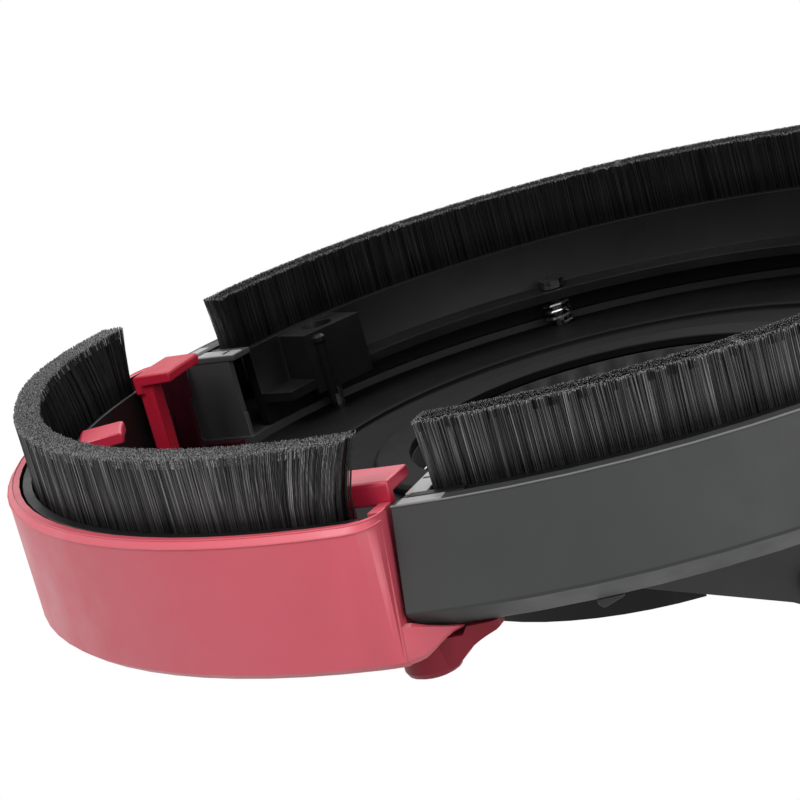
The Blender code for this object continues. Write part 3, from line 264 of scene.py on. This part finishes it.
# The record's six finishes: name, darker and lighter colour, roughness, specular level.
FINISH = {
    "dark_grey_plastic": moulded("dark_grey_plastic", (0.043, 0.044, 0.045), (0.050, 0.051, 0.052), 0.48, 0.32),
    "grey_plastic": moulded("grey_plastic", (0.034, 0.034, 0.035), (0.042, 0.042, 0.043), 0.5, 0.35),
    "black_plastic": moulded("black_plastic", (0.0045, 0.0045, 0.0048), (0.0065, 0.0065, 0.0068), 0.42, 0.2),
    "red_plastic": moulded("red_plastic", (0.68, 0.090, 0.130), (0.73, 0.100, 0.142), 0.42, 0.8),
    "bristle": bristle_material("bristle", 0.06, 0.26, 0.3),
    "steel": steel_material("steel", 0.42, 0.62),
}
# Shades of them for single pieces and faces. The hooks', latches' and nose inside's reds and the inner bristles
# are painted shade, the pale grey is a painted reflection and the rim grey a painted highlight.
# painted shade: a darker red for the latches, which hang in the nose's shadow
LATCH_RED_SHADE = moulded("latch_red_painted_shade", (0.24, 0.012, 0.026), (0.28, 0.016, 0.032), 0.42, 0.3)
DECK_BLACK = moulded("deck_black", (0.0035, 0.0035, 0.0038), (0.0055, 0.0055, 0.0058), 0.55, 0.1)
# painted shade: a darker copy of the hook red for the far hook
FAR_HOOK_RED_SHADE = moulded("far_hook_red_painted_shade", (0.50, 0.010, 0.034), (0.56, 0.014, 0.042), 0.42, 0.4)
# painted shade: a darker, more saturated copy of the nose red for the hooks
HOOK_RED_SHADE = moulded("hook_red_painted_shade", (0.62, 0.020, 0.060), (0.68, 0.026, 0.070), 0.34, 0.8)
# painted shade for the nose's inner faces
NOSE_INSIDE_SHADE = moulded("nose_inside_painted_shade", (0.030, 0.003, 0.007), (0.040, 0.004, 0.009), 0.5, 0.2)
# painted reflection: pale grey where the end plates mirror the bright light
PALE_GREY_REFLECTION = moulded("pale_grey_painted_reflection", (0.34, 0.34, 0.345), (0.44, 0.44, 0.445), 0.4, 0.6)
# painted highlight: a lighter grey line along the ring's rim
RIM_GREY_HIGHLIGHT = moulded("rim_grey_painted_highlight", (0.13, 0.13, 0.132), (0.20, 0.20, 0.202), 0.4, 0.6)
# painted shade for the inner faces, the core and the short strands of the cut face
INNER_BRISTLE_SHADE = bristle_material("inner_bristle_painted_shade", 0.010, 0.026, 0.12)
DARK_BRISTLE = bristle_material("dark_bristle", 0.020, 0.075, 0.3)
PALE_BRISTLE = bristle_material("pale_bristle", 0.20, 0.42, 0.4)
CUT_BRISTLE_HIGHLIGHT = cut_highlight_material()
PIN_STEEL = steel_material("pin_steel", 0.10, 0.18)
SHADES = (("nose_hook_right", FAR_HOOK_RED_SHADE), ("nose_hook", HOOK_RED_SHADE), ("nose_latch", LATCH_RED_SHADE),
          ("guide_pin", PIN_STEEL), ("deck", DECK_BLACK), ("clamp_ring", DECK_BLACK))


def finish_of(node):
    """Hooks and latches have darker copies of their slot's material as painted shade; pins and the deck have their
    own shade of it.
    """
    for start, finish in SHADES:
        if node.startswith(start):
            return finish
    return FINISH[SLOT_OF[node]]


# ---- places round the hood ----
def around(radius, angle, height):
    """The point at a radius and height, at an angle in degrees from the nose's middle towards +X."""
    turn = math.radians(angle)
    return Vector((radius * math.sin(turn), -radius * math.cos(turn), height))


def directions(angle):
    """The directions forwards along the rim and outwards from the axis, at an angle in degrees."""
    turn = math.radians(angle)
    return Vector((math.cos(turn), math.sin(turn), 0)), Vector((math.sin(turn), -math.cos(turn), 0))


def angle_of(point):
    """A point's angle in degrees, from -180 to 180."""
    return math.degrees(math.atan2(point.x, -point.y))


def signed(angle):
    """The same angle between -180 and 180."""
    return (angle + 180) % 360 - 180


def bulge(angle):
    """The nose's curve is drawn in away from its middle."""
    return NOSE_BULGE * (1 - math.cos(math.radians(angle)))


def flat(angle):
    """The ring's curve stays round the hood's axis."""
    return 0.0


def share_of(value, start, stop):
    """How far a value has come from start to stop, from 0 to 1, with soft ends."""
    part = min(1.0, max(0.0, (value - start) / (stop - start)))
    return part * part * (3 - 2 * part)


# ---- rounded copies of the moulded pieces ----
EDGES = {"outer_ring": 0.5, "nose_shell": 0.55, "nose_hook_left": 0.5, "nose_hook_right": 0.5,
         "nose_hook_middle_left": 0.5, "nose_hook_middle_right": 0.5, "nose_liner": 0.3,
         "nose_latch_left": 0.5, "nose_latch_right": 0.5, "lock_lever": 0.6, "inner_wall": 0.35,
         "port_housing": 0.4, "front_cover": 0.5, "clamp_ring": 0.3, "deck": 0.3, "neck": 0.5, "hose_cuff": 0.4,
         "ring_brush_carrier": 0.25, "nose_brush_carrier": 0.25, "ring_clip_left": 0.3, "ring_clip_right": 0.3,
         "tilt_pin_left": 0.3, "tilt_pin_right": 0.3}       # each node's bevel in mm
SHARP = math.radians(32)            # an edge that turns more is bevelled, one that turns less is shaded smooth
WELD = 0.002 * MM
CUT_REACH = 0.005 * MM
FLAT = math.radians(0.6)            # faces that turn less than this are joined
CUTS = range(15, 180, 30)           # degrees; planes through the axis that keep flat rings in simple faces
NOSE_WALL = 2.4 * MM
NOSE_ENDS = 50.1                    # degrees from its middle
NOSE_LEVELS = (RIM_Z + 0.6 * MM, NOSE_TOP - 0.5 * MM)       # its inner faces lie between them
FACES_IN = -0.35                    # below this a face's normal points inwards, or away from the nose's end
FACES_DOWN = -0.5                   # and at this or below it points down


def piece_from(name, mesh, slot, body, finish=None):
    """A new piece with a mesh, its slot's material or another, and the body that it rides on."""
    made = put(name, mesh)
    give(mesh, finish or FINISH[slot])
    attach(made, body)
    return made


def rounded(node, width):
    """A copy of a moulded node with its edges rounded and its curved walls shaded smooth."""
    source = NODES[node].data.copy()
    work = bmesh.new()
    work.from_mesh(source)
    bmesh.ops.remove_doubles(work, verts=work.verts, dist=WELD)
    for angle in CUTS:
        turn = math.radians(angle)
        made = bmesh.ops.bisect_plane(work, geom=[*work.verts, *work.edges, *work.faces], dist=CUT_REACH,
                                      plane_co=(0, 0, 0), plane_no=(math.cos(turn), math.sin(turn), 0))
        for part in made["geom_cut"]:
            if isinstance(part, bmesh.types.BMEdge):
                part.seam = True
    bmesh.ops.dissolve_limit(work, angle_limit=FLAT, verts=work.verts, edges=work.edges,
                             delimit={"SEAM"})
    for face in work.faces:
        face.smooth = True
    work.to_mesh(source)
    work.free()
    piece = piece_from(f"{node}_moulding", source, SLOT_OF[node], BODY_OF[node], finish_of(node))
    bevel = add_bevel(piece, width)
    bevel.limit_method = "ANGLE"
    bevel.angle_limit = SHARP
    source.set_sharp_from_angle(angle=SHARP)
    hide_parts(node)
    return piece


def paint_inside_shade(piece):
    """The nose's inner faces get a dark red as painted shade, where they lie in the hood's own dark."""
    mesh = piece.data
    mesh.materials.append(NOSE_INSIDE_SHADE)
    for face in mesh.polygons:
        middle = face.center
        angle = angle_of(middle)
        forwards, outwards = directions(angle)
        to_end = face.normal.dot(forwards) * math.copysign(1, angle)
        if min(face.normal.dot(outwards), to_end) > FACES_IN and face.normal.z > FACES_DOWN:
            continue
        behind = middle.xy.length < NOSE_FRONT - bulge(angle) - NOSE_WALL
        if behind and NOSE_LEVELS[0] < middle.z < NOSE_LEVELS[1] and abs(angle) < NOSE_ENDS:
            face.material_index = 1


def dress_mouldings():
    """Rounded copies of the moulded pieces; small fasteners keep their own shape."""
    for node, width in EDGES.items():
        piece = rounded(node, width * MM)
        if node == "nose_shell":
            paint_inside_shade(piece)
    for node in NODES:
        if node not in EDGES and "brush_" not in node and "spring" not in node:
            give(NODES[node].data, finish_of(node))


# ---- bristles ----
OUTER, INNER_SHADE, CUT_HIGHLIGHT, DARK, PALE = range(5)    # a brush's material slots; the inner one is painted shade, the cut one carries painted highlights
END_GAPS = {"nose_brush_1": (2.2, 0.0), "nose_brush_3": (0.0, 3.3)}      # degrees of channel left bare at an end
LOOSE = {"nose_brush_1": 12}                # single bristles that stand apart at a brush's first end
STRAND_PITCH = 0.24 * MM                    # between the strands of a row
STRAND, END_STRAND, LOOSE_STRAND, CUT_STRAND = 0.125 * MM, 0.12 * MM, 0.14 * MM, 0.15 * MM      # radii
OUTER_ROWS = (0.05, 0.3, 0.6)               # mm behind the outer face
INNER_ROWS = (0.05, 0.4)                    # mm behind the inner face
FACE_SHADES = ((OUTER, DARK, PALE), (6, 4, 1))      # the outer face's slots and how often each comes
SHORTER = (0.0, 0.05, 0.1, 0.2, 0.45)       # mm that a strand may stay behind its length
FURROW, LONG_WAVE, SHORT_WAVE = 1.1 * MM, 2.3 * MM, 0.9 * MM    # spacing of furrows and of two leaning waves
ROOT_BAND = 0.1 * MM                        # vertices this near to the root give a brush's radii
BEND = 1.6                                  # the power of its height with which a strand bends
TAPER = 0.12
WAVE_LENGTH = 97                            # random values before a brush's wave repeats
TUFT_PITCH = 0.40 * MM                      # between the short strands that fill the cut face
TUFT_START = 0.86                           # they begin this far from root to tip
CORE_STEP = 1.5 * MM
CORE_INSET = 0.8 * MM
CORE_MARGIN = 0.3 * MM
CORE_LEVELS = (0.0, 0.35, 0.65, 0.9)
WHOLE_STEPS = (0.0, 0.35, 0.7, 0.97, 1.0)   # a strand's rings from its root, the last two round its cut end
SHORT_STEPS = (0.0, 1.0)


def nose_tip(angle):
    """Where the nose's tips go: height, lean along the brush and lean outwards. Both ends fan out."""
    angle = signed(angle)
    along = 7.8 * MM * share_of(angle, 32, 44.7) - 5.6 * MM * share_of(angle, -30, -46.5)
    return 0.0, along, 2.6 * MM * (share_of(angle, 8, 30) - share_of(angle, 33, 44.7))


def ring_tip(angle):
    """Where the ring's tips go; they come down to the floor at the rear and lean to the joints at the ends."""
    lift = RING_LIFT * share_of(180 - abs(signed(angle)), 0, REAR_REST)
    along = 0.6 * MM * share_of(angle, 298, 306.7) - 1.2 * MM * share_of(angle, 60, 54.9)
    return lift, along, 0.0


def span_of(node):
    """First and last angle of a brush node, seen from the hood's axis; always counted forwards."""
    angles = sorted(angle_of(v.co) % 360 for v in NODES[node].data.vertices)
    if angles[-1] - angles[0] > 180:
        angles = sorted(signed(a) for a in angles)
    return angles[0], angles[-1]


class Brush:
    """One length of bristle: thousands of fine strands over a core in painted shade, cut level."""

    def __init__(self, node, draw_in, tip, seed):
        self.node, self.draw_in, self.tip = node, draw_in, tip
        self.draw = random.Random(seed)
        self.work = bmesh.new()
        start, stop = span_of(node)
        first_gap, last_gap = END_GAPS.get(node, (0.0, 0.0))
        self.start, self.stop = start + first_gap, stop - last_gap
        radii = [math.hypot(v.co.x, v.co.y) + draw_in(angle_of(v.co)) for v in NODES[node].data.vertices
                 if v.co.z > BRUSH_ROOT - ROOT_BAND]
        self.inner, self.outer = min(radii), max(radii)
        self.middle = (self.inner + self.outer) / 2
        self.span = math.radians(self.stop - self.start) * self.middle
        self.wave = [self.draw.uniform(-1, 1) for _ in range(WAVE_LENGTH)]
        # the nose's tips are painted lit, while the ring's short tip strands keep painted shade on their sides
        self.painted_lit_tips = node.startswith("nose")

    def place(self, share, radius, part):
        """A point of the brush: share counts along it, and part is 0 at the root and 1 at the tips."""
        angle = self.start + (self.stop - self.start) * share
        low, along, out = self.tip(angle)
        forwards, outwards = directions(angle)
        point = around(radius - self.draw_in(angle), angle, BRUSH_ROOT + (low - BRUSH_ROOT) * part)
        bend = part ** BEND
        point += forwards * along * bend
        return point + outwards * out * bend

    def sway(self, share, turns):
        """A smooth random wave along the brush, from -1 to 1."""
        spot = share * self.span / turns
        index = int(spot)
        here, there = self.wave[index % WAVE_LENGTH], self.wave[(index + 1) % WAVE_LENGTH]
        return here * (1 - spot + index) + there * (spot - index)

    def strand(self, shade, share, radius, short, along, out, size, first=0.0):
        """A strand of three sides, its end in the cut ends' material with painted highlights; the inner face's
        strands keep a cap in painted shade.
        """
        work = self.work
        forwards, outwards = directions(self.start + (self.stop - self.start) * share)
        turn = self.draw.uniform(0, math.tau)
        whole = first == 0.0
        last = 1 - short / BRUSH_ROOT
        rings = []
        for step in WHOLE_STEPS if whole else SHORT_STEPS:
            centre = (self.place(share, radius, first + (last - first) * step)
                      + forwards * along * step * step + outwards * out * step * step)
            reach = size * (1 - TAPER * step)
            rings.append([work.verts.new(centre + (forwards * math.cos(turn + k * THIRD_TURN)
                                                   + outwards * math.sin(turn + k * THIRD_TURN)) * reach)
                          for k in range(3)])
        for upper, lower in zip(rings, rings[1:]):
            for k in range(3):
                face = work.faces.new((upper[k], upper[(k + 1) % 3], lower[(k + 1) % 3], lower[k]))
                face.material_index = shade
        # painted highlight: the tip's last sides take the cut ends' pale specks
        if whole or self.painted_lit_tips:
            for vert in rings[-1]:
                for face in vert.link_faces:
                    face.material_index = CUT_HIGHLIGHT
        work.faces.new(rings[-1]).material_index = INNER_SHADE if shade == INNER_SHADE and whole else CUT_HIGHLIGHT

    def add_core(self):
        """The mass behind the strands, dark with painted shade."""
        work, span = self.work, self.span
        steps = max(8, int(span / CORE_STEP))
        rows = []
        for index in range(steps + 1):
            share = (CORE_MARGIN + (span - 2 * CORE_MARGIN) * index / steps) / span
            rows.append([work.verts.new(self.place(share, self.outer - CORE_INSET, part)) for part in CORE_LEVELS]
                        + [work.verts.new(self.place(share, self.inner + CORE_INSET, part))
                           for part in reversed(CORE_LEVELS)])
        skin(work, rows)
        for face in work.faces:
            face.material_index = INNER_SHADE

    def add_rows(self):
        """Rows of whole strands on the outer and inner faces, with shallow furrows between tufts."""
        draw = self.draw
        columns = int(self.span / STRAND_PITCH)
        for face, sign, depths in ((self.outer, -1, OUTER_ROWS), (self.inner, 1, INNER_ROWS)):
            for depth in depths:
                for index in range(columns):
                    share = (index + draw.random()) / columns
                    # the inner face's strands get painted shade
                    shade = draw.choices(*FACE_SHADES)[0] if sign < 0 else INNER_SHADE
                    sunk = 0.6 * max(0.0, self.sway(share, FURROW))
                    radius = face + sign * (depth + sunk + draw.uniform(0, 0.25)) * MM
                    short = (draw.choice(SHORTER) + draw.uniform(0, 0.15)) * MM
                    along = (self.sway(share, LONG_WAVE) * 0.2 + self.sway(share, SHORT_WAVE) * 0.12
                             + draw.gauss(0, 0.09)) * MM
                    self.strand(shade, share, radius, short, along, draw.gauss(0, 0.1) * MM, STRAND)

    def add_ends(self):
        """Strands that close both ends, and the loose ones beyond the first."""
        draw = self.draw
        for edge in (0.0, 1.0):
            for _ in range(int((self.outer - self.inner) / STRAND_PITCH) * 3):
                share = abs(edge - draw.uniform(0.0, 0.5 * MM) / self.span)
                radius = draw.uniform(self.inner, self.outer)
                # strands on the inner half of the ends get painted shade
                shade = draw.choice((OUTER, DARK)) if radius > self.middle else INNER_SHADE
                self.strand(shade, share, radius, draw.uniform(0, 0.5) * MM,
                            draw.gauss(0, 0.25) * MM + (0.5 * MM if edge else -0.5 * MM) * draw.random(),
                            0, END_STRAND)
        for _ in range(LOOSE.get(self.node, 0)):
            self.strand(DARK, -draw.uniform(0.2, 2.0) * MM / self.span, draw.uniform(self.inner, self.outer),
                        0, 0, 0, LOOSE_STRAND)

    def add_cut_face(self):
        """Short strands all over the cut face."""
        draw = self.draw
        cells = int(self.span / TUFT_PITCH)
        lanes = int((self.outer - self.inner) / TUFT_PITCH)
        for lane in range(1, lanes):
            for cell in range(cells):
                share = (cell + draw.random()) / cells
                radius = self.inner + (self.outer - self.inner) * (lane + draw.uniform(-0.5, 0.5)) / lanes
                # the cut face's short strands have their sides in painted shade
                self.strand(INNER_SHADE, share, radius, draw.uniform(0.0, 0.6) * MM, 0, 0, CUT_STRAND, TUFT_START)

    def finish(self):
        """The finished piece, in place of its node."""
        name = f"{self.node}_bristles"
        mesh = mesh_from(name, self.work)
        piece = piece_from(name, mesh, "bristle", BODY_OF[self.node])
        for material in (INNER_BRISTLE_SHADE, CUT_BRISTLE_HIGHLIGHT, DARK_BRISTLE, PALE_BRISTLE):
            mesh.materials.append(material)
        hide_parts(self.node)


def add_brushes():
    """Every length of bristle, each with its own seed."""
    for group, count, draw_in, tip, seed in (("ring_brush", 8, flat, ring_tip, 100),
                                             ("nose_brush", 3, bulge, nose_tip, 200)):
        for index in range(1, count + 1):
            brush = Brush(f"{group}_{index}", draw_in, tip, seed + index)
            brush.add_core()
            brush.add_rows()
            brush.add_ends()
            brush.add_cut_face()
            brush.finish()


# ---- springs ----
def add_springs():
    """The float springs between the hood's deck and the skirt's ledge, as steel coils shaded smooth."""
    for node in [name for name in NODES if name.startswith("float_spring")]:
        mesh = NODES[node].data.copy()
        give(mesh, FINISH["steel"])
        for face in mesh.polygons:
            face.use_smooth = True
        coil = put(f"{node}_coil", mesh)
        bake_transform(coil)
        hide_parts(node)


# ---- beads along the moulded rims, and the ring's end plates ----
NOSE_EDGE = RIM_Z + 1.3 * MM        # the lower line round the nose
SAME_LEVEL = 0.02 * MM
NOSE_BEAD, RING_BEAD = 0.2 * MM, 0.25 * MM      # radii
RIM_DEPTH = 14 * MM                 # how far in from the furthest vertex a rim still counts as the outside
PLATE_STEPS = 6
PLATE_ROUNDING = 0.25               # of its thickness
# Part, slot, finish, inner and outer radius in mm, first and last angle, lower and upper level from the rim in mm.
END_PLATES = (
    # the plate's and lip's pale grey is a painted reflection
    ("plate", "dark_grey_plastic", PALE_GREY_REFLECTION, 106.0, 118.4, 50.75, 52.9, -0.15, 0.55),
    ("lip", "dark_grey_plastic", PALE_GREY_REFLECTION, 120.9, 124.3, 50.9, 55.2, -0.15, 0.55),
    ("slot", "black_plastic", None, 109.2, 110.1, 51.0, 52.6, -0.25, 0.5),
    ("groove", "black_plastic", None, 118.4, 120.9, 51.4, 57.0, -0.25, 0.5),
)


def rim_path(node, height):
    """The outermost vertices of a node at one height, in order round the hood."""
    best = {}
    for vert in NODES[node].data.vertices:
        if abs(vert.co.z - height) < SAME_LEVEL:
            angle = round(angle_of(vert.co) % 360, 1)
            if node == "nose_shell":
                angle = signed(angle)
            if angle not in best or best[angle].xy.length < vert.co.xy.length:
                best[angle] = vert.co.copy()
    reach = max(point.xy.length for point in best.values())
    return [best[angle] for angle in sorted(best) if best[angle].xy.length > reach - RIM_DEPTH]


def add_bead(name, node, height, radius, finish=None):
    """A thin raised line along a node's rim."""
    points = rim_path(node, height)
    path = bpy.data.curves.new(name, "CURVE")
    path.dimensions = "3D"
    path.bevel_depth = radius
    path.bevel_resolution = 2
    path.use_fill_caps = True
    line = path.splines.new("POLY")
    line.points.add(len(points) - 1)
    for point, spot in zip(line.points, points):
        point.co = (*spot, 1.0)
    bead = put(name, path)
    path.materials.append(finish or FINISH[SLOT_OF[node]])
    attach(bead, BODY_OF[node])


def add_plate(name, slot, finish, inner, outer, start, stop, low, high):
    """A thin plate on the skirt that follows the ring's curve, with softened edges."""
    work = bmesh.new()
    rows = []
    for index in range(PLATE_STEPS + 1):
        angle = start + (stop - start) * index / PLATE_STEPS
        rows.append([work.verts.new(around(radius, angle, height))
                     for radius, height in ((inner, low), (outer, low), (outer, high), (inner, high))])
    skin(work, rows)
    bmesh.ops.recalc_face_normals(work, faces=work.faces)
    piece = piece_from(name, mesh_from(name, work), slot, "skirt", finish)
    add_bevel(piece, PLATE_ROUNDING * (high - low))


def add_end_plates():
    """The floor plates, lips and grooves at both ends of the ring; the plates and lips are pale grey as a painted
    reflection.
    """
    for label, side in (("left", -1), ("right", 1)):
        for part, slot, finish, inner, outer, start, stop, low, high in END_PLATES:
            add_plate(f"ring_end_{part}_{label}", slot, finish, inner * MM, outer * MM, side * start,
                      side * stop, RIM_Z + low * MM, RIM_Z + high * MM)


# ---- stage and light ----
FLOOR_HALF = 3.0             # metres
FLOOR_DROP = 0.02 * MM
SOFT_LIGHT = 0.30
# Name, place to the camera's right, above and behind in metres, size in metres, power in watts.
LAMPS = (("key", -0.8, 0.8, 0.8, 0.7, 11.0), ("fill", 0.5, 0.2, 1.1, 0.8, 4.0), ("top", 0.2, 1.2, -0.5, 0.8, 6.0))


def clamped(tree, operation, first, second):
    """A sum or difference of two values, held between 0 and 1."""
    node = tree.nodes.new("ShaderNodeMath")
    node.operation = operation
    node.use_clamp = True
    tree.links.new(first, node.inputs[0])
    tree.links.new(second, node.inputs[1])
    return node.outputs[0]


def mix_surface(tree, factor, first, second, output):
    """A mix of two shaders that goes to the tree's output."""
    mix = tree.nodes.new("ShaderNodeMixShader")
    tree.links.new(factor, mix.inputs[0])
    tree.links.new(first.outputs[0], mix.inputs[1])
    tree.links.new(second.outputs[0], mix.inputs[2])
    tree.links.new(mix.outputs[0], tree.nodes[output].inputs["Surface"])


def add_floor():
    """A pale floor, seen from above only, so that the view from below meets the head and not the floor."""
    work = bmesh.new()
    bmesh.ops.create_grid(work, x_segments=1, y_segments=1, size=FLOOR_HALF)
    mesh = mesh_from("floor", work)
    floor = put("floor", mesh)
    floor.location.z = -FLOOR_DROP
    made, tree, shader = new_tree("floor")
    shader.inputs["Base Color"].default_value = (0.86, 0.86, 0.86, 1)
    shader.inputs["Roughness"].default_value = 0.8
    clear = tree.nodes.new("ShaderNodeBsdfTransparent")
    path = tree.nodes.new("ShaderNodeLightPath")
    sight = tree.nodes.new("ShaderNodeNewGeometry")
    front = clamped(tree, "SUBTRACT", path.outputs["Is Camera Ray"], sight.outputs["Backfacing"])
    mix_surface(tree, front, clear, shader, "Material Output")
    mesh.materials.append(made)


def add_world():
    """White all round for the eye and for reflections, plain soft light on the part."""
    world = bpy.data.worlds.new("studio")
    bpy.context.scene.world = world
    world.use_nodes = True
    tree = world.node_tree
    soft = tree.nodes["Background"]
    soft.inputs["Color"].default_value = (1, 1, 1, 1)
    soft.inputs["Strength"].default_value = SOFT_LIGHT
    white = tree.nodes.new("ShaderNodeBackground")
    white.inputs["Color"].default_value = (1, 1, 1, 1)
    white.inputs["Strength"].default_value = 1.0
    path = tree.nodes.new("ShaderNodeLightPath")
    seen = path.outputs["Is Camera Ray"]
    for ray in ("Is Glossy Ray", "Is Transmission Ray"):
        seen = clamped(tree, "ADD", seen, path.outputs[ray])
    mix_surface(tree, seen, soft, white, "World Output")


def add_lamp(name, camera, side, up, back, size, power):
    """A soft box placed in the camera's own directions: to its right, above it and behind it, from the part."""
    turn = camera.matrix_world.to_3x3()
    middle = Vector((0, 0, RIM_Z))
    place = middle + turn @ Vector((side, up, back))
    data = bpy.data.lights.new(name, "AREA")
    data.size = size
    data.energy = power
    lamp = put(name, data)
    lamp.location = place
    lamp.rotation_euler = (middle - place).to_track_quat("-Z", "Y").to_euler()


camera = add_camera()
add_floor()
add_world()
for name, side, up, back, size, power in LAMPS:
    add_lamp(name, camera, side, up, back, size, power)
dress_mouldings()
add_brushes()
add_springs()
add_end_plates()
add_bead("nose_rim_bead", "nose_shell", RIM_Z, NOSE_BEAD)
add_bead("nose_edge_bead", "nose_shell", NOSE_EDGE, NOSE_BEAD)
# the ring's bead is a painted highlight in a lighter grey
add_bead("ring_rim_bead", "outer_ring", RIM_Z, RING_BEAD, RIM_GREY_HIGHLIGHT)

bpy.context.scene.view_settings.view_transform = "Standard"
